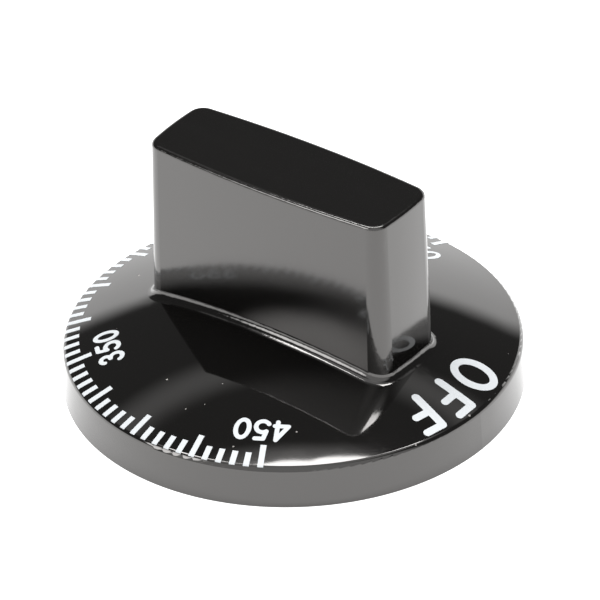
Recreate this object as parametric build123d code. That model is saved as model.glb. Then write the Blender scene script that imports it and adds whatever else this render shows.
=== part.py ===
"""Push-on control knob for a griddle thermostat.

A low domed dial with a bar grip across it, moulded in one piece and hollow underneath.
A hub in the middle takes the thermostat's D-shaped shaft, and a leaf spring holds it there.

Frame: the origin is the centre of the rim's underside, and +Z points away from the panel.
The grip lies along X, and its +X end is the one that points at the off position.
"""

import os
from math import radians, sqrt, tan

from build123d import *

# Skirt: the outer wall of the dial. Lengths are in millimetres, drafts in degrees.
SKIRT_DIAMETER = 63.5
SKIRT_HEIGHT = 6.25
SKIRT_DRAFT = 2.0
SKIRT_WALL = 2.5
SKIRT_EDGE_RADIUS = 0.8
SKIRT_FOOT_CHAMFER = 0.15

# Dial: a shallow dome that closes the skirt
DIAL_CROWN_HEIGHT = 12.05
DIAL_WALL = 3.0

# Grip: a bar with bowed sides and a flat top, wider at its foot
GRIP_HEIGHT = 34.3
GRIP_LENGTH = 38.8
GRIP_END_WIDTH = 12.0
GRIP_SIDE_BOW = 0.92
GRIP_END_BOW = 0.36
GRIP_DRAFT = 1.0
GRIP_CORNER_RADIUS = 2.3
GRIP_TOP_EDGE_RADIUS = 0.55
GRIP_FOOT_RADIUS = 1.25

# Pockets that core out the grip from below, one on each side of the hub
POCKET_WALL = 2.8
POCKET_ROOF = 3.2
POCKET_CORNER_RADIUS = 1.0
POCKET_TO_HUB = 0.9

# Hub that hangs from the dial
HUB_DIAMETER = 13.6
HUB_DRAFT = 1.0
HUB_RECESS = 0.8

# Thermostat shaft that the socket is made for
SHAFT_DIAMETER = 6.35
SHAFT_ACROSS_FLAT = 5.56
SHAFT_CLEARANCE = 0.05

# Socket: a round lead-in for the shank, then a D for the flatted end
LEAD_IN_LENGTH = 6.0
LEAD_IN_CLEARANCE = 0.25
LEAD_IN_CHAMFER = 0.5
SOCKET_FLAT_LENGTH = 13.0

# Ribs that tie the hub to the skirt, between the grip's ends and sides
RIB_COUNT = 4
RIB_FIRST_ANGLE = 45.0
RIB_THICKNESS = 1.8
RIB_RECESS = 3.0

# Leaf spring that bears on the shaft's flat, from a slot in the socket's wall
SPRING_THICKNESS = 0.4
SPRING_WIDTH = 2.4
SPRING_SIDE_CLEARANCE = 0.1
SPRING_SHANK_CLEARANCE = 0.1
SPRING_BITE = 0.25
SPRING_END_TAB = 1.2
SPRING_END_CLEARANCE = 0.3
SPRING_BEND_RADIUS = 0.6
SPRING_HOOK_LENGTH = 1.8
SPRING_HOOK_RECESS = 0.1

# Places that several pieces share
skirt_radius = SKIRT_DIAMETER / 2
dial_radius = skirt_radius - SKIRT_HEIGHT * tan(radians(SKIRT_DRAFT))
dial_rise = DIAL_CROWN_HEIGHT - SKIRT_HEIGHT
crown_radius = (dial_radius**2 + dial_rise**2) / (2 * dial_rise)
crown_centre = DIAL_CROWN_HEIGHT - crown_radius
bore_radius = SHAFT_DIAMETER / 2 + SHAFT_CLEARANCE
lead_in_radius = SHAFT_DIAMETER / 2 + LEAD_IN_CLEARANCE
shaft_flat = SHAFT_ACROSS_FLAT - SHAFT_DIAMETER / 2
socket_flat = shaft_flat + SHAFT_CLEARANCE
lead_in_top = HUB_RECESS + LEAD_IN_LENGTH
socket_top = lead_in_top + SOCKET_FLAT_LENGTH
slot_floor = lead_in_radius + SPRING_SHANK_CLEARANCE + SPRING_THICKNESS
slot_width = SPRING_WIDTH + 2 * SPRING_SIDE_CLEARANCE
notch_depth = SPRING_THICKNESS + SPRING_HOOK_RECESS


def dial_height(radius, wall=0.0):
    """Height of the dome at a radius, or of its inside a wall's thickness below."""
    return crown_centre + sqrt((crown_radius - wall) ** 2 - radius**2)


def dome_arc(outer, inner, wall=0.0):
    """The dome's arc, from an outer radius in to a smaller one."""
    middle = (outer + inner) / 2
    return ThreePointArc(*[(r, dial_height(r, wall)) for r in (outer, middle, inner)])


def corner_at(sketch, radius, height):
    """The vertex of a profile that is nearest to a radius and height."""
    return sketch.vertices().sort_by_distance((radius, height, 0))[0]


def turned(profile):
    """Turn a profile of radius and height about Z."""
    return revolve(Plane.XZ * profile, Axis.Z)


def grip_plan(height, wall=0.0):
    """The grip's outline at a height, or the outline of a space inside it, with square corners."""
    x = GRIP_LENGTH / 2
    y = GRIP_END_WIDTH / 2
    corners = [(x, -y), (x, y), (-x, y), (-x, -y), (x, -y)]
    middles = [(x + GRIP_END_BOW, 0), (0, y + GRIP_SIDE_BOW), (-x - GRIP_END_BOW, 0), (0, -y - GRIP_SIDE_BOW)]
    arcs = [ThreePointArc(corners[i], middles[i], corners[i + 1]) for i in range(4)]
    spread = grip_spread(height) - wall
    return Pos(0, 0, height) * offset(make_face(arcs), amount=spread, kind=Kind.INTERSECTION)


def grip_spread(height):
    """How much further out the grip's walls are at a height than at its top."""
    return (GRIP_HEIGHT - height) * tan(radians(GRIP_DRAFT))


def bar(foot, top, wall, corner_radius):
    """The grip between two heights, or with a wall the space inside it. The radius is at the top."""
    sections = []
    for height in (foot, top):
        plan = grip_plan(height, wall)
        radius = corner_radius + grip_spread(height) - grip_spread(top)
        sections.append(fillet(plan.vertices(), radius))
    return loft(sections, ruled=True)


def dial():
    """The dome and skirt as a solid turning."""
    profile = make_face(
        [
            Line((0, 0), (skirt_radius, 0)),
            Line((skirt_radius, 0), (dial_radius, SKIRT_HEIGHT)),
            dome_arc(dial_radius, 0),
            Line((0, DIAL_CROWN_HEIGHT), (0, 0)),
        ]
    )
    profile = fillet(corner_at(profile, dial_radius, SKIRT_HEIGHT), SKIRT_EDGE_RADIUS)
    profile = chamfer(corner_at(profile, skirt_radius, 0), SKIRT_FOOT_CHAMFER)
    return turned(profile)


def outer_form():
    """Dial and grip blended together, before anything is cut from below."""
    form = dial() + bar(SKIRT_HEIGHT, GRIP_HEIGHT, 0, GRIP_CORNER_RADIUS)
    foot = form.edges().filter_by_position(Axis.Z, SKIRT_HEIGHT + SKIRT_EDGE_RADIUS, DIAL_CROWN_HEIGHT)
    form = fillet(foot, GRIP_FOOT_RADIUS)
    top = form.faces().sort_by(Axis.Z)[-1]
    return fillet(top.edges(), GRIP_TOP_EDGE_RADIUS)


def underside():
    """The space under the dial, round the hub and between the ribs."""
    inner_foot = skirt_radius - SKIRT_WALL
    inner_top = inner_foot - (SKIRT_HEIGHT - DIAL_WALL) * tan(radians(SKIRT_DRAFT))
    inner_height = dial_height(inner_top, DIAL_WALL)
    hub_foot = HUB_DIAMETER / 2
    hub_root = hub_foot + (DIAL_CROWN_HEIGHT - DIAL_WALL) * tan(radians(HUB_DRAFT))
    hub_height = dial_height(hub_root, DIAL_WALL)
    profile = make_face(
        [
            Polyline((0, HUB_RECESS), (0, 0), (inner_foot, 0), (inner_top, inner_height)),
            dome_arc(inner_top, hub_root, DIAL_WALL),
            Polyline((hub_root, hub_height), (hub_foot, HUB_RECESS), (0, HUB_RECESS)),
        ]
    )
    rib = Pos(skirt_radius / 2, 0, RIB_RECESS) * Box(
        skirt_radius, RIB_THICKNESS, DIAL_CROWN_HEIGHT, align=(Align.CENTER, Align.CENTER, Align.MIN)
    )
    ribs = PolarLocations(0, RIB_COUNT, start_angle=RIB_FIRST_ANGLE) * rib
    return turned(profile) - ribs


def pockets():
    """The two spaces that core out the grip, open towards the panel."""
    roof = GRIP_HEIGHT - POCKET_ROOF
    near_hub = HUB_DIAMETER / 2 + POCKET_TO_HUB
    web = Pos(0, 0, SKIRT_HEIGHT) * Box(
        2 * near_hub, GRIP_LENGTH, GRIP_HEIGHT, align=(Align.CENTER, Align.CENTER, Align.MIN)
    )
    spaces = bar(SKIRT_HEIGHT, roof, POCKET_WALL, POCKET_CORNER_RADIUS) - web
    beside_web = spaces.edges().filter_by_position(Axis.X, -near_hub, near_hub)
    upright = beside_web.filter_by_position(Axis.Z, SKIRT_HEIGHT, roof, inclusive=(False, False))
    return fillet(upright, POCKET_CORNER_RADIUS)


def shaft_socket():
    """The hole in the hub: round for the shank, then a D, with the spring's slot and notch."""
    upward = (Align.CENTER, Align.CENTER, Align.MIN)
    lead_in = Pos(0, 0, HUB_RECESS) * Cylinder(lead_in_radius, LEAD_IN_LENGTH, align=upward)
    mouth = Pos(0, 0, HUB_RECESS) * Cone(
        lead_in_radius + LEAD_IN_CHAMFER, lead_in_radius, LEAD_IN_CHAMFER, align=upward
    )
    d_round = Pos(0, 0, lead_in_top) * Cylinder(bore_radius, SOCKET_FLAT_LENGTH, align=upward)
    beyond_flat = Pos(-socket_flat, 0, lead_in_top) * Box(
        bore_radius, 2 * bore_radius, SOCKET_FLAT_LENGTH, align=(Align.MAX, Align.CENTER, Align.MIN)
    )
    notch_top = HUB_RECESS + notch_depth
    notch_end = slot_floor + SPRING_HOOK_LENGTH + SPRING_SIDE_CLEARANCE
    slot = make_face(
        Polyline(
            (0, HUB_RECESS),
            (0, socket_top),
            (-slot_floor, socket_top),
            (-slot_floor, notch_top + SPRING_BEND_RADIUS),
            (-slot_floor - SPRING_BEND_RADIUS, notch_top),
            (-notch_end, notch_top),
            (-notch_end, HUB_RECESS),
            close=True,
        )
    )
    slot = extrude(Plane.XZ * slot, slot_width / 2, both=True)
    return lead_in + mouth + (d_round - beyond_flat) + slot


def knob_body():
    """The moulding."""
    return outer_form() - underside() - pockets() - shaft_socket()


def shaft_spring():
    """The leaf spring, bowed towards the shaft's flat and hooked over the hub's end."""
    leaf_line = -(slot_floor - SPRING_THICKNESS / 2)
    contact_line = -(shaft_flat - SPRING_BITE + SPRING_THICKNESS / 2)
    hook_line = HUB_RECESS + SPRING_HOOK_RECESS + SPRING_THICKNESS / 2
    top = socket_top - SPRING_END_CLEARANCE
    bow_top = top - SPRING_END_TAB
    bow_foot = lead_in_top + SPRING_END_TAB
    tab = Line((leaf_line, top), (leaf_line, bow_top))
    bow = Spline(
        (leaf_line, bow_top),
        (contact_line, (bow_top + bow_foot) / 2),
        (leaf_line, bow_foot),
        tangents=[(0, -1), (0, -1)],
    )
    hook = FilletPolyline(
        (leaf_line, bow_foot),
        (leaf_line, hook_line),
        (-(slot_floor + SPRING_HOOK_LENGTH), hook_line),
        radius=SPRING_BEND_RADIUS,
    )
    strip = Plane.XZ * trace([tab, bow, hook], SPRING_THICKNESS)
    return extrude(strip, SPRING_WIDTH / 2, both=True)


os.makedirs("parts", exist_ok=True)
export_step(knob_body(), "parts/knob_body.step")
export_step(shaft_spring(), "parts/shaft_spring.step")
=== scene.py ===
from math import asin, cos, hypot, radians, sin

import bmesh
import bpy
from mathutils import Matrix, Vector


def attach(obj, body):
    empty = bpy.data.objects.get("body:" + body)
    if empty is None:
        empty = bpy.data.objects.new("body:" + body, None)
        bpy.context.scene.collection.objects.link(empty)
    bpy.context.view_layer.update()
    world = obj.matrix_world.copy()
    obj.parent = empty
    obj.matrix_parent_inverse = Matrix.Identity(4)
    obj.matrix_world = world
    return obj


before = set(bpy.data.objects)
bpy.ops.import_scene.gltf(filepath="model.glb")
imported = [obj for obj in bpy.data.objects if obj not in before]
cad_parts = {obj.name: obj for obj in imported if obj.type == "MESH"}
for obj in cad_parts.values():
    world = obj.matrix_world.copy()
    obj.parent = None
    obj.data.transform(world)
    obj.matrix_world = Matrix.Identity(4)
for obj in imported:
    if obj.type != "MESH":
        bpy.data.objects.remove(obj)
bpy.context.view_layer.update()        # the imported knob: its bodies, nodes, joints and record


# The moulding: dial, skirt and grip pressed in one shot of black phenolic.
# It comes out of a polished tool, so it is glossy all over, with the fine
# unevenness of the resin's skin. Handling leaves dust and faint rubbed streaks.

SMOOTH_SKIN_TOP = 0.0122
HANDLED_SKIN_FROM = 0.0145
UNDERSIDE_RADIUS = 0.0302
UNDERSIDE_CROWN = 0.0105
UNDERSIDE_CURVE = 5.64
UNDERSIDE_DULLNESS = 0.22


def new_material(name):
    """An empty node material with its output and one Principled shader."""
    material = bpy.data.materials.new(name)
    material.use_nodes = True
    nodes = material.node_tree.nodes
    nodes.clear()
    output = nodes.new("ShaderNodeOutputMaterial")
    shader = nodes.new("ShaderNodeBsdfPrincipled")
    material.node_tree.links.new(shader.outputs["BSDF"], output.inputs["Surface"])
    return material, shader


def fill_in(tree, node, inputs):
    """Put values or links on a node's inputs."""
    for name, value in inputs.items():
        if isinstance(value, bpy.types.NodeSocket):
            tree.links.new(value, node.inputs[name])
        else:
            node.inputs[name].default_value = value


def add_node(tree, kind, inputs=None, **settings):
    """A new node with its settings and inputs."""
    node = tree.nodes.new(kind)
    for name, value in settings.items():
        setattr(node, name, value)
    fill_in(tree, node, inputs or {})
    return node


def combine(tree, operation, *values):
    """The result of one sum on values or links."""
    return add_node(
        tree, "ShaderNodeMath", dict(enumerate(values)), operation=operation
    ).outputs[0]


def ramp(tree, value, start, end, low=0.0, high=1.0, kind="LINEAR"):
    """A value that goes from low to high between a start and an end, and is level past them."""
    return add_node(
        tree, "ShaderNodeMapRange",
        {"Value": value, "From Min": start, "From Max": end, "To Min": low, "To Max": high},
        interpolation_type=kind,
    ).outputs["Result"]


def noise(tree, place, scale, detail, roughness=0.5):
    """A soft random pattern, as a value."""
    return add_node(
        tree, "ShaderNodeTexNoise",
        {"Vector": place, "Scale": scale, "Detail": detail, "Roughness": roughness},
    ).outputs["Fac"]


def blend(tree, factor, first, second):
    """A colour between two others."""
    mix = add_node(tree, "ShaderNodeMix", {"Factor": factor}, data_type="RGBA")
    fill_in(tree, mix, {6: (*first, 1), 7: (*second, 1)})
    return mix.outputs[2]


def bump(tree, height, strength, distance, **under):
    """A normal that follows a height, on top of another normal if one is given."""
    return add_node(
        tree, "ShaderNodeBump",
        {"Height": height, "Strength": strength, "Distance": distance, **under},
    ).outputs["Normal"]


def dust_group():
    """Specks of dust that lie on upward faces, as a mask."""
    tree = bpy.data.node_groups.new("settled_dust", "ShaderNodeTree")
    for name in ("Specks Per Metre", "Speck Size", "Least Size", "Share"):
        tree.interface.new_socket(name=name, in_out="INPUT", socket_type="NodeSocketFloat")
    tree.interface.new_socket(name="Dust", in_out="OUTPUT", socket_type="NodeSocketFloat")
    given = tree.nodes.new("NodeGroupInput").outputs
    place = add_node(tree, "ShaderNodeTexCoord").outputs["Object"]
    cells = add_node(
        tree, "ShaderNodeTexVoronoi", {"Vector": place, "Scale": given["Specks Per Metre"]}
    ).outputs
    chance = add_node(tree, "ShaderNodeSeparateColor", {"Color": cells["Color"]}).outputs["Red"]
    kept = combine(tree, "LESS_THAN", chance, given["Share"])
    size = combine(tree, "MULTIPLY_ADD", given["Speck Size"], chance, given["Least Size"])
    speck = combine(tree, "LESS_THAN", cells["Distance"], size)
    normal = add_node(tree, "ShaderNodeNewGeometry").outputs["Normal"]
    facing = add_node(tree, "ShaderNodeSeparateXYZ", {"Vector": normal}).outputs["Z"]
    upward = ramp(tree, facing, start=0.2, end=0.85)
    dust = combine(tree, "MULTIPLY", combine(tree, "MULTIPLY", kept, speck), upward)
    add_node(tree, "NodeGroupOutput", {"Dust": dust})
    return tree


phenolic, phenolic_shader = new_material("glossy_black_phenolic")
tree = phenolic.node_tree
place = add_node(tree, "ShaderNodeTexCoord").outputs["Object"]
level = add_node(tree, "ShaderNodeSeparateXYZ", {"Vector": place}).outputs["Z"]
dust = add_node(
    tree, "ShaderNodeGroup",
    {"Specks Per Metre": 520.0, "Speck Size": 0.5, "Least Size": 0.02, "Share": 0.15},
    node_tree=dust_group(),
).outputs["Dust"]

# The hollow side keeps the duller finish of the tool's core.
flat = add_node(
    tree, "ShaderNodeVectorMath", {0: place, 1: (1, 1, 0)}, operation="MULTIPLY"
).outputs[0]
across = add_node(tree, "ShaderNodeVectorMath", {0: flat}, operation="LENGTH").outputs["Value"]
square = combine(tree, "MULTIPLY", across, across)
below_dome = combine(tree, "MULTIPLY_ADD", square, UNDERSIDE_CURVE, level)
inside = combine(
    tree, "MULTIPLY",
    combine(tree, "LESS_THAN", below_dome, UNDERSIDE_CROWN),
    combine(tree, "LESS_THAN", across, UNDERSIDE_RADIUS),
)

# Rubbed streaks run all over. The grip is handled most, and its skin is less even.
streaks = add_node(
    tree, "ShaderNodeMapping",
    {"Vector": place, "Rotation": (0, 0, radians(25)), "Scale": (90, 420, 90)},
).outputs["Vector"]
rubbed = noise(tree, streaks, scale=1.0, detail=4.0, roughness=0.6)
gloss = ramp(tree, rubbed, start=0.45, end=0.8, low=0.035, high=0.06)
handled = ramp(tree, level, SMOOTH_SKIN_TOP, HANDLED_SKIN_FROM, low=0.0, high=0.055)
dulled = combine(tree, "ADD", gloss, handled)
dulled = combine(tree, "MULTIPLY_ADD", inside, UNDERSIDE_DULLNESS, dulled)
skin_depth = ramp(tree, level, SMOOTH_SKIN_TOP, HANDLED_SKIN_FROM, low=0.12, high=1.0)
skin = combine(tree, "MULTIPLY", noise(tree, place, scale=6000.0, detail=2.0), skin_depth)
waves = bump(tree, noise(tree, place, scale=160.0, detail=1.0), strength=0.05, distance=0.0002)
fill_in(tree, phenolic_shader, {
    "Base Color": blend(tree, dust, (0.0048, 0.0045, 0.0042), (0.42, 0.40, 0.38)),
    "Roughness": combine(tree, "MAXIMUM", dulled, dust),
    "Normal": bump(tree, skin, strength=0.2, distance=0.00001, Normal=waves),
    "IOR": 1.78,
    "Specular Tint": (1.0, 0.975, 0.955, 1),
})

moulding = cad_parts["knob_body"]
for slot in moulding.material_slots:
    slot.material = phenolic


# The shaft spring: a strip of bright spring steel, pressed into the socket's slot.
# It was cut and bent on a strip line, which leaves fine marks along its length.

spring_steel, spring_shader = new_material("rolled_spring_steel")
tree = spring_steel.node_tree
place = add_node(tree, "ShaderNodeTexCoord").outputs["Object"]
grain = add_node(
    tree, "ShaderNodeMapping", {"Vector": place, "Scale": (3000, 9000, 120)}
).outputs["Vector"]
rolled = noise(tree, grain, scale=1.0, detail=3.0)
fill_in(tree, spring_shader, {
    "Base Color": blend(tree, rolled, (0.36, 0.35, 0.34), (0.50, 0.49, 0.47)),
    "Roughness": ramp(tree, rolled, start=0.0, end=1.0, low=0.22, high=0.42),
    "Normal": bump(tree, rolled, strength=0.3, distance=0.00001),
    "Metallic": 1.0,
})

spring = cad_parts["shaft_spring"]
for slot in spring.material_slots:
    slot.material = spring_steel


# The degree marks: 61 strokes from 450 down to 150, pad printed in white ink.
# Every fifth stroke is longer. The pad rolls them just over the dial's rounded edge.

DIAL_RADIUS = 0.031532
DIAL_EDGE_HEIGHT = 0.00625
DIAL_CROWN_HEIGHT = 0.01205
DIAL_RISE = DIAL_CROWN_HEIGHT - DIAL_EDGE_HEIGHT
CROWN_RADIUS = (DIAL_RADIUS**2 + DIAL_RISE**2) / (2 * DIAL_RISE)
CROWN_CENTRE = DIAL_CROWN_HEIGHT - CROWN_RADIUS
EDGE_RADIUS = 0.0008
EDGE_CENTRE_REACH = 0.030751
EDGE_CENTRE_HEIGHT = 0.0056896

INK_PROUD = 0.000022
INK_BITE = 0.00002
PRINT_CENTRE = Vector((0.00001, 0.00034, 0))
FIRST_ANGLE = -62.089
DEGREES_PER_MARK = 3.57035
MARK_COUNT = 61
MARKS_PER_LONG_ONE = 5
MARK_WIDTH = 0.00082
MARK_STEP = 0.00014
SHORT_MARK_FROM = 0.0295
LONG_MARK_FROM = 0.02815
MARK_TO = 0.03166
SHARP_ANGLE = radians(40)


def wrap_on_dial(mesh):
    """Lay a flat print on the dome and over its rounded edge, with z as the height off it."""
    edge_start = EDGE_CENTRE_REACH * CROWN_RADIUS / (CROWN_RADIUS - EDGE_RADIUS)
    for vertex in mesh.verts:
        radius = hypot(vertex.co.x, vertex.co.y)
        outward = Vector((vertex.co.x, vertex.co.y, 0)) / radius
        if radius < edge_start:
            tilt = asin(radius / CROWN_RADIUS)
            centre, reach = Vector((0, 0, CROWN_CENTRE)), CROWN_RADIUS
        else:
            tilt = asin(edge_start / CROWN_RADIUS) + (radius - edge_start) / EDGE_RADIUS
            centre = outward * EDGE_CENTRE_REACH + Vector((0, 0, EDGE_CENTRE_HEIGHT))
            reach = EDGE_RADIUS
        normal = outward * sin(tilt) + Vector((0, 0, cos(tilt)))
        vertex.co = centre + normal * (reach + vertex.co.z)


def put_in_order(mesh):
    """Sort a mesh by place, because some operators change the order from run to run."""
    for items, key in (
        (mesh.verts, lambda vertex: tuple(vertex.co)),
        (mesh.edges, lambda edge: sorted(vertex.index for vertex in edge.verts)),
        (mesh.faces, lambda face: sorted(vertex.index for vertex in face.verts)),
    ):
        rank = {item: place for place, item in enumerate(sorted(items, key=key))}
        items.sort(key=rank.get)
        items.index_update()


def verts_in(items):
    """The vertices among an operator's results."""
    return [item for item in items if isinstance(item, bmesh.types.BMVert)]


def thicken(mesh, bottom, top):
    """Turn flat faces into closed slabs between two heights."""
    made = bmesh.ops.extrude_face_region(mesh, geom=mesh.faces[:])["geom"]
    bmesh.ops.translate(mesh, verts=verts_in(made), vec=(0, 0, top - bottom))
    bmesh.ops.translate(mesh, verts=mesh.verts, vec=(0, 0, bottom))
    bmesh.ops.recalc_face_normals(mesh, faces=mesh.faces)
    put_in_order(mesh)


def add_piece(mesh, name, material):
    """Make a finished bmesh a piece that rides on the knob."""
    data = bpy.data.meshes.new(name)
    mesh.to_mesh(data)
    mesh.free()
    data.shade_smooth()
    data.set_sharp_from_angle(angle=SHARP_ANGLE)
    data.materials.append(material)
    piece = bpy.data.objects.new(name, data)
    bpy.context.scene.collection.objects.link(piece)
    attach(piece, "root")


ink, ink_shader = new_material("white_pad_print_ink")
tree = ink.node_tree
place = add_node(tree, "ShaderNodeTexCoord").outputs["Object"]
mottle = noise(tree, place, scale=1500.0, detail=3.0)
fill_in(tree, ink_shader, {
    "Base Color": blend(tree, mottle, (0.80, 0.84, 0.87), (0.90, 0.93, 0.95)),
    "Roughness": 0.45,
    "Normal": bump(tree, mottle, strength=0.15, distance=0.00001),
})

marks = bmesh.new()
for count, step, start, end in (
    (MARK_COUNT, 1, SHORT_MARK_FROM, MARK_TO),
    (MARK_COUNT // MARKS_PER_LONG_ONE + 1, MARKS_PER_LONG_ONE, LONG_MARK_FROM, SHORT_MARK_FROM),
):
    bar = bmesh.ops.create_grid(
        marks, x_segments=round((end - start) / MARK_STEP), y_segments=4, size=0.5
    )["verts"]
    bmesh.ops.scale(marks, verts=bar, vec=(end - start, MARK_WIDTH, 1))
    bmesh.ops.translate(marks, verts=bar, vec=((end + start) / 2, 0, 0))
    turn = Matrix.Rotation(radians(FIRST_ANGLE), 3, "Z")
    bmesh.ops.rotate(marks, verts=bar, cent=(0, 0, 0), matrix=turn)
    bmesh.ops.spin(
        marks, geom=list(dict.fromkeys(face for vertex in bar for face in vertex.link_faces)),
        cent=(0, 0, 0), axis=(0, 0, 1), angle=radians(-DEGREES_PER_MARK * step * (count - 1)),
        steps=count - 1, use_duplicate=True,
    )
bmesh.ops.remove_doubles(marks, verts=marks.verts, dist=1e-6)
bmesh.ops.translate(marks, verts=marks.verts, vec=PRINT_CENTRE)
thicken(marks, -INK_BITE, INK_PROUD)
wrap_on_dial(marks)
add_piece(marks, "degree_marks", ink)


# The degree numbers: every hundred is written out, in the same white ink.
# Each is drawn with a round pen, in millimetres, and stands upright to its own mark.

MM = 0.001
NUMBER_PEN = 0.64
NUMBER_FOOT = 23.98
NUMBER_TOP = 26.95
PEN_SIDES = 28
RING_SIDES = 56
ARC_STEP = 9


def pen_dot(mesh, width, centre):
    """The round nib set down once."""
    bmesh.ops.create_circle(
        mesh, cap_ends=True, segments=PEN_SIDES, radius=width / 2,
        matrix=Matrix.Translation((*centre, 0)),
    )


def pen_line(mesh, width, start, end):
    """A stroke of a round pen from point to point."""
    for point in (start, end):
        pen_dot(mesh, width, point)
    start, end = Vector((*start, 0)), Vector((*end, 0))
    side = (end - start).normalized().cross(Vector((0, 0, 1))) * width / 2
    nib = mesh.edges.new((mesh.verts.new(start - side), mesh.verts.new(start + side)))
    made = bmesh.ops.extrude_edge_only(mesh, edges=[nib])["geom"]
    bmesh.ops.translate(mesh, verts=verts_in(made), vec=end - start)


def pen_arc(mesh, width, centre, radius, start, turn):
    """A stroke of a round pen about a centre, from an angle and on by a turn, in degrees."""
    centre = Vector((*centre, 0))
    out = Vector((cos(radians(start)), sin(radians(start)), 0))
    ends = [centre + out * (radius + width * side) for side in (-0.5, 0.5)]
    nib = mesh.edges.new([mesh.verts.new(end) for end in ends])
    bmesh.ops.spin(
        mesh, geom=[nib], cent=centre, axis=(0, 0, 1), angle=radians(turn),
        steps=round(abs(turn) / ARC_STEP),
    )
    for angle in (radians(start), radians(start + turn)):
        pen_dot(mesh, width, (centre.x + radius * cos(angle), centre.y + radius * sin(angle)))


def pen_ring(mesh, centre, outer, inner, lean=0):
    """A closed oval from its outer and inner half sizes."""
    ring = bmesh.ops.create_circle(mesh, segments=RING_SIDES, radius=1)["verts"]
    edges = list(dict.fromkeys(edge for vertex in ring for edge in vertex.link_edges))
    inside = verts_in(bmesh.ops.extrude_edge_only(mesh, edges=edges)["geom"])
    bmesh.ops.scale(mesh, verts=ring, vec=(*outer, 1))
    bmesh.ops.scale(mesh, verts=inside, vec=(*inner, 1))
    slant = Matrix(((1, lean, 0), (0, 1, 0), (0, 0, 1))).to_4x4()
    bmesh.ops.transform(mesh, verts=ring + inside, matrix=slant)
    bmesh.ops.translate(mesh, verts=ring + inside, vec=(*centre, 0))


def draw_four(mesh):
    """A 4 in three strokes."""
    pen_line(mesh, NUMBER_PEN, (-1.42, NUMBER_FOOT), (-1.42, NUMBER_TOP))
    pen_line(mesh, NUMBER_PEN, (-2.88, 24.6), (-1.06, 24.65))
    pen_line(mesh, NUMBER_PEN, (-2.9, 24.6), (-1.42, NUMBER_TOP))


def draw_three(mesh):
    """A 3 in two bowls."""
    pen_arc(mesh, NUMBER_PEN, (-2.43, 26.32), 0.67, 160, -250)
    pen_arc(mesh, NUMBER_PEN, (-2.43, 24.83), 0.82, 93, -250)


def draw_two(mesh):
    """A 2 in three strokes."""
    pen_arc(mesh, NUMBER_PEN, (-2.4, 26.05), 0.9, 165, -205)
    pen_line(mesh, NUMBER_PEN, (-1.71, 25.47), (-3.25, NUMBER_FOOT))
    pen_line(mesh, NUMBER_PEN, (-3.25, NUMBER_FOOT), (-1.45, NUMBER_FOOT))


def draw_one(mesh):
    """A 1 in two strokes."""
    pen_line(mesh, NUMBER_PEN, (-2.75, NUMBER_FOOT), (-2.75, NUMBER_TOP))
    pen_line(mesh, NUMBER_PEN, (-2.75, NUMBER_TOP), (-3.5, 26.3))


def draw_five(mesh, right=0, up=0):
    """A 5 in three strokes, moved right and up from its place in 450."""
    pen_line(mesh, NUMBER_PEN, (1.45 + right, 26.85 + up), (0.3 + right, 26.85 + up))
    pen_line(mesh, NUMBER_PEN, (0.3 + right, 26.85 + up), (0.02 + right, 25.62 + up))
    pen_arc(mesh, NUMBER_PEN, (0.57 + right, 24.87 + up), 0.92, 126, -275)


def draw_nought(mesh, right=0, up=0):
    """A nought, moved right and up from its place in 450."""
    pen_ring(mesh, (3.32 + right, 25.27 + up), (1.22, 1.8), (0.56, 1.14), lean=0.06)


def drawn_object(letter, *values):
    """One letter's strokes as overlapping slabs, in an object of its own."""
    drawn = bmesh.new()
    letter(drawn, *values)
    thicken(drawn, -INK_BITE / MM, INK_PROUD / MM)
    data = bpy.data.meshes.new("letter")
    drawn.to_mesh(data)
    drawn.free()
    item = bpy.data.objects.new("letter", data)
    bpy.context.scene.collection.objects.link(item)
    return item


def merge_letters(letters):
    """A word's letters with all their strokes merged. A letter is a function and its values."""
    items = [drawn_object(*letter) for letter in letters]
    for other in items[1:]:
        union = items[0].modifiers.new("union", "BOOLEAN")
        union.operation = "UNION"
        union.solver = "EXACT"
        union.use_self = True
        union.object = other
    merged = items[0].evaluated_get(bpy.context.evaluated_depsgraph_get())
    word = bmesh.new()
    word.from_mesh(merged.to_mesh())
    merged.to_mesh_clear()
    for item in items:
        bpy.data.meshes.remove(item.data)
    return word


def cut_in_squares(word):
    """Cut a word along lines a millimetre apart, so that it can follow the dome."""
    for across in (Vector((1, 0, 0)), Vector((0, 1, 0))):
        reach = [vertex.co.dot(across) for vertex in word.verts]
        for cut in range(int(min(reach)), int(max(reach)) + 1):
            bmesh.ops.bisect_plane(
                word, geom=word.verts[:] + word.edges[:] + word.faces[:], dist=1e-5,
                plane_co=across * cut, plane_no=across,
            )
    put_in_order(word)


def print_words(name, words):
    """Print words on the dial as one piece. A word is an angle and its letters."""
    whole = bmesh.new()
    for angle, letters in words:
        word = merge_letters(letters)
        cut_in_squares(word)
        bmesh.ops.scale(word, verts=word.verts, vec=(MM, MM, MM))
        turn = Matrix.Rotation(radians(angle - 90), 3, "Z")
        bmesh.ops.rotate(word, verts=word.verts, cent=(0, 0, 0), matrix=turn)
        data = bpy.data.meshes.new("word")
        word.to_mesh(data)
        word.free()
        whole.from_mesh(data)
        bpy.data.meshes.remove(data)
    bmesh.ops.triangulate(whole, faces=whole.faces)
    put_in_order(whole)
    wrap_on_dial(whole)
    add_piece(whole, name, ink)


print_words("degree_numbers", (
    (-61.589, ((draw_four,), (draw_five,), (draw_nought,))),
    (-133.589, ((draw_three,), (draw_five, -0.4, 0.15), (draw_nought, -0.44, 0.15))),
    (-205.589, ((draw_two,), (draw_five, -0.4, 0.15), (draw_nought, -0.44, 0.15))),
    (-277.589, ((draw_one,), (draw_five, -1.3, 0), (draw_nought, -1.32, -0.22))),
))


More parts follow.
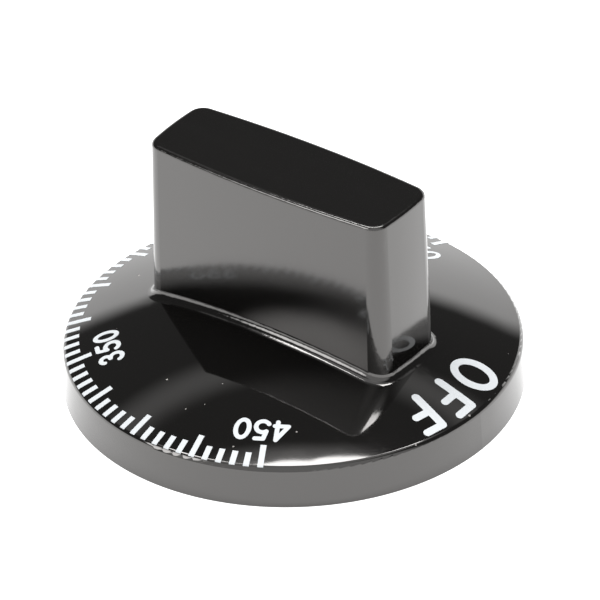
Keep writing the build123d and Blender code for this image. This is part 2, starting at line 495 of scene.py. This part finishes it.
# The word OFF, printed in the same ink, in taller and heavier letters than the numbers.
# Its letters are drawn with broader pens, and each is turned to its own place on the dial.

STEM_PEN = 1.25
ARM_PEN = 1.05


def draw_stem(mesh, along, foot, top):
    """The upright of an F."""
    pen_line(mesh, STEM_PEN, (along, foot), (along, top))


def draw_arms(mesh, along, top, top_end, middle, middle_end):
    """The two arms of an F."""
    pen_line(mesh, ARM_PEN, (along, top), (top_end, top))
    pen_line(mesh, ARM_PEN, (along, middle), (middle_end, middle))


print_words("off_word", (
    (10.8, ((pen_ring, (0.08, 27.34), (2.81, 3.31), (1.55, 2.23)),)),
    (-12.6, ((draw_stem, -0.55, 24.84, 30.13), (draw_arms, -0.6, 30.22, 2.25, 27.57, 1.9))),
    (0, ((draw_stem, 0.07, 24.75, 30.06), (draw_arms, 0.02, 30.15, 2.92, 27.47, 2.55))),
))


# The floor is a white sheet of paper. It is white to the camera, and bright in the gloss,
# where it makes the skirt's grey. From below it is clear, so that the underside shows.

SHEET_RADIUS = 1.2
SHEET_DROP = 0.00004
SHEET_GLOW = 1.36

paper, paper_shader = new_material("white_paper")
tree = paper.node_tree
rays = add_node(tree, "ShaderNodeLightPath").outputs
seen = combine(tree, "MAXIMUM", rays["Is Camera Ray"], rays["Is Glossy Ray"])
seen = combine(tree, "MAXIMUM", seen, rays["Is Transmission Ray"])
fill_in(tree, paper_shader, {
    "Base Color": (0.8, 0.8, 0.8, 1),
    "Roughness": 0.9,
    "Specular IOR Level": 0.0,
    "Emission Color": (1, 1, 1, 1),
    "Emission Strength": combine(tree, "MULTIPLY", seen, SHEET_GLOW),
})
from_below = add_node(tree, "ShaderNodeNewGeometry").outputs["Backfacing"]
clear = add_node(tree, "ShaderNodeBsdfTransparent").outputs["BSDF"]
one_sided = add_node(
    tree, "ShaderNodeMixShader", {0: from_below, 1: paper_shader.outputs["BSDF"], 2: clear}
).outputs[0]
tree.links.new(one_sided, tree.nodes["Material Output"].inputs["Surface"])

sheet = bmesh.new()
bmesh.ops.create_circle(
    sheet, cap_ends=True, segments=96, radius=SHEET_RADIUS,
    matrix=Matrix.Translation((0, 0, -SHEET_DROP)),
)
data = bpy.data.meshes.new("paper_floor")
sheet.to_mesh(data)
sheet.free()
floor = bpy.data.objects.new("paper_floor", data)
bpy.context.scene.collection.objects.link(floor)
data.materials.append(paper)


# The studio round the knob shows only in the gloss: paper that sweeps up behind it, the
# bright room at the camera's back, a cove and a halo by the lamps, and a window to the left.
# Everything else gets one even fill light, and the camera sees white.

VIEW_TURN = radians(37.3844)
FILL_LIGHT = 0.5
SWEEP_GLOW = 1.8
BARE_WALL_GLOW = 0.1
ROOM_GLOW = 1.2
COVE_GLOW = 0.45
HALO_GLOW = 0.95
WINDOW_GLOW = 7.0
WINDOW_PLACE = (-0.764, -0.415, 0.494)


def in_view(right, back, up):
    """A place given from the camera: to its right, away from it and up."""
    return (
        right * cos(VIEW_TURN) - back * sin(VIEW_TURN),
        right * sin(VIEW_TURN) + back * cos(VIEW_TURN),
        up,
    )


def towards(tree, direction, *way):
    """How far a direction points one way, given from the camera."""
    return add_node(
        tree, "ShaderNodeVectorMath", {0: direction, 1: in_view(*way)}, operation="DOT_PRODUCT"
    ).outputs["Value"]


def soft_ramp(tree, value, start, end, low=0.0, high=1.0):
    """A ramp with rounded ends."""
    return ramp(tree, value, start, end, low, high, kind="SMOOTHSTEP")


world = bpy.data.worlds.new("studio")
bpy.context.scene.world = world
world.use_nodes = True
tree = world.node_tree
tree.nodes.clear()
direction = add_node(tree, "ShaderNodeTexCoord").outputs["Generated"]
height = add_node(tree, "ShaderNodeSeparateXYZ", {"Vector": direction}).outputs["Z"]
before = towards(tree, direction, 0, -1, 0)

# The paper ends low at the sides, and sweeps up higher straight behind the knob.
behind = combine(tree, "SUBTRACT", towards(tree, direction, 0.12, 0.63, 0), 0.21)
above = combine(tree, "SUBTRACT", height, combine(tree, "MAXIMUM", behind, 0.0))
sweep = soft_ramp(tree, above, 0.0, 0.13, low=SWEEP_GLOW, high=BARE_WALL_GLOW)
room = soft_ramp(tree, before, 0.35, 0.65, high=ROOM_GLOW)

# The cove is a faint band on the far side, and the halo fills in above the lamps' back edge.
cove = combine(
    tree, "MULTIPLY",
    soft_ramp(tree, height, 0.71, 0.775),
    soft_ramp(tree, height, 0.84, 0.78, high=COVE_GLOW),
)
cove = combine(tree, "MULTIPLY", cove, soft_ramp(tree, before, -0.2, -0.45))
halo = combine(
    tree, "MULTIPLY",
    soft_ramp(tree, before, -0.345, -0.272),
    soft_ramp(tree, height, 0.8, 0.88, high=HALO_GLOW),
)
window = towards(tree, direction, *WINDOW_PLACE)
window = soft_ramp(tree, window, 0.951, 0.9962, high=WINDOW_GLOW)

in_gloss = combine(tree, "MAXIMUM", sweep, room)
for light in (cove, halo, window):
    in_gloss = combine(tree, "ADD", in_gloss, light)
rays = add_node(tree, "ShaderNodeLightPath").outputs
strength = add_node(
    tree, "ShaderNodeMix", {"Factor": rays["Is Glossy Ray"], "A": FILL_LIGHT, "B": in_gloss}
).outputs["Result"]
strength = combine(tree, "MAXIMUM", strength, rays["Is Camera Ray"])
background = add_node(
    tree, "ShaderNodeBackground", {"Color": (1, 1, 1, 1), "Strength": strength}
).outputs["Background"]
add_node(tree, "ShaderNodeOutputWorld", {"Surface": background})


# The studio's lamps: two broad soft boxes that hang side by side over the table, a little
# behind the knob. Their reflection makes the white band along the dial's near edge.

LAMP_HEIGHT = 0.9


def soft_box(name, right, back, size, power, turn):
    """A level lamp that faces down, turned by some degrees from square to the camera."""
    lamp = bpy.data.lights.new(name, "AREA")
    lamp.shape = "RECTANGLE"
    lamp.size, lamp.size_y = size
    lamp.energy = power
    holder = bpy.data.objects.new(name, lamp)
    place = Matrix.Translation(in_view(right, back, LAMP_HEIGHT))
    holder.matrix_world = place @ Matrix.Rotation(VIEW_TURN + radians(turn), 4, "Z")
    bpy.context.scene.collection.objects.link(holder)


soft_box("overhead_left", -0.19, 0.153, size=(0.5, 0.17), power=3.4, turn=-1)
soft_box("overhead_right", 0.205, 0.187, size=(0.42, 0.17), power=2.85, turn=13)


# The camera looks down on the knob from its front right, as in the photograph.
# It stands well back with a long lens, so that the perspective is slight.

ELEVATION = radians(34.1019)
DISTANCE = 1.577381
PAN = radians(0.0402)
TILT = radians(0.3781)
ROLL = radians(-1.7657)
FOCAL_LENGTH = 690
SENSOR_WIDTH = 36


def sides_of(ahead):
    """The level way to the right of a view, and the way up across it."""
    right = ahead.cross(Vector((0, 0, 1))).normalized()
    return right, right.cross(ahead)


place = Vector(in_view(0, -cos(ELEVATION) * DISTANCE, sin(ELEVATION) * DISTANCE))
ahead = -place.normalized()
right, above = sides_of(ahead)
ahead = (ahead + right * PAN + above * TILT).normalized()
right, above = sides_of(ahead)
right, above = (
    right * cos(ROLL) + above * sin(ROLL),
    above * cos(ROLL) - right * sin(ROLL),
)
lens = bpy.data.cameras.new("camera")
lens.lens = FOCAL_LENGTH
lens.sensor_width = SENSOR_WIDTH
lens.clip_start = 0.1
lens.clip_end = 20
camera = bpy.data.objects.new("camera", lens)
turned = Matrix((right, above, -ahead)).transposed().to_4x4()
camera.matrix_world = Matrix.Translation(place) @ turned
bpy.context.scene.collection.objects.link(camera)
bpy.context.scene.camera = camera

bpy.context.scene.view_settings.view_transform = "Standard"
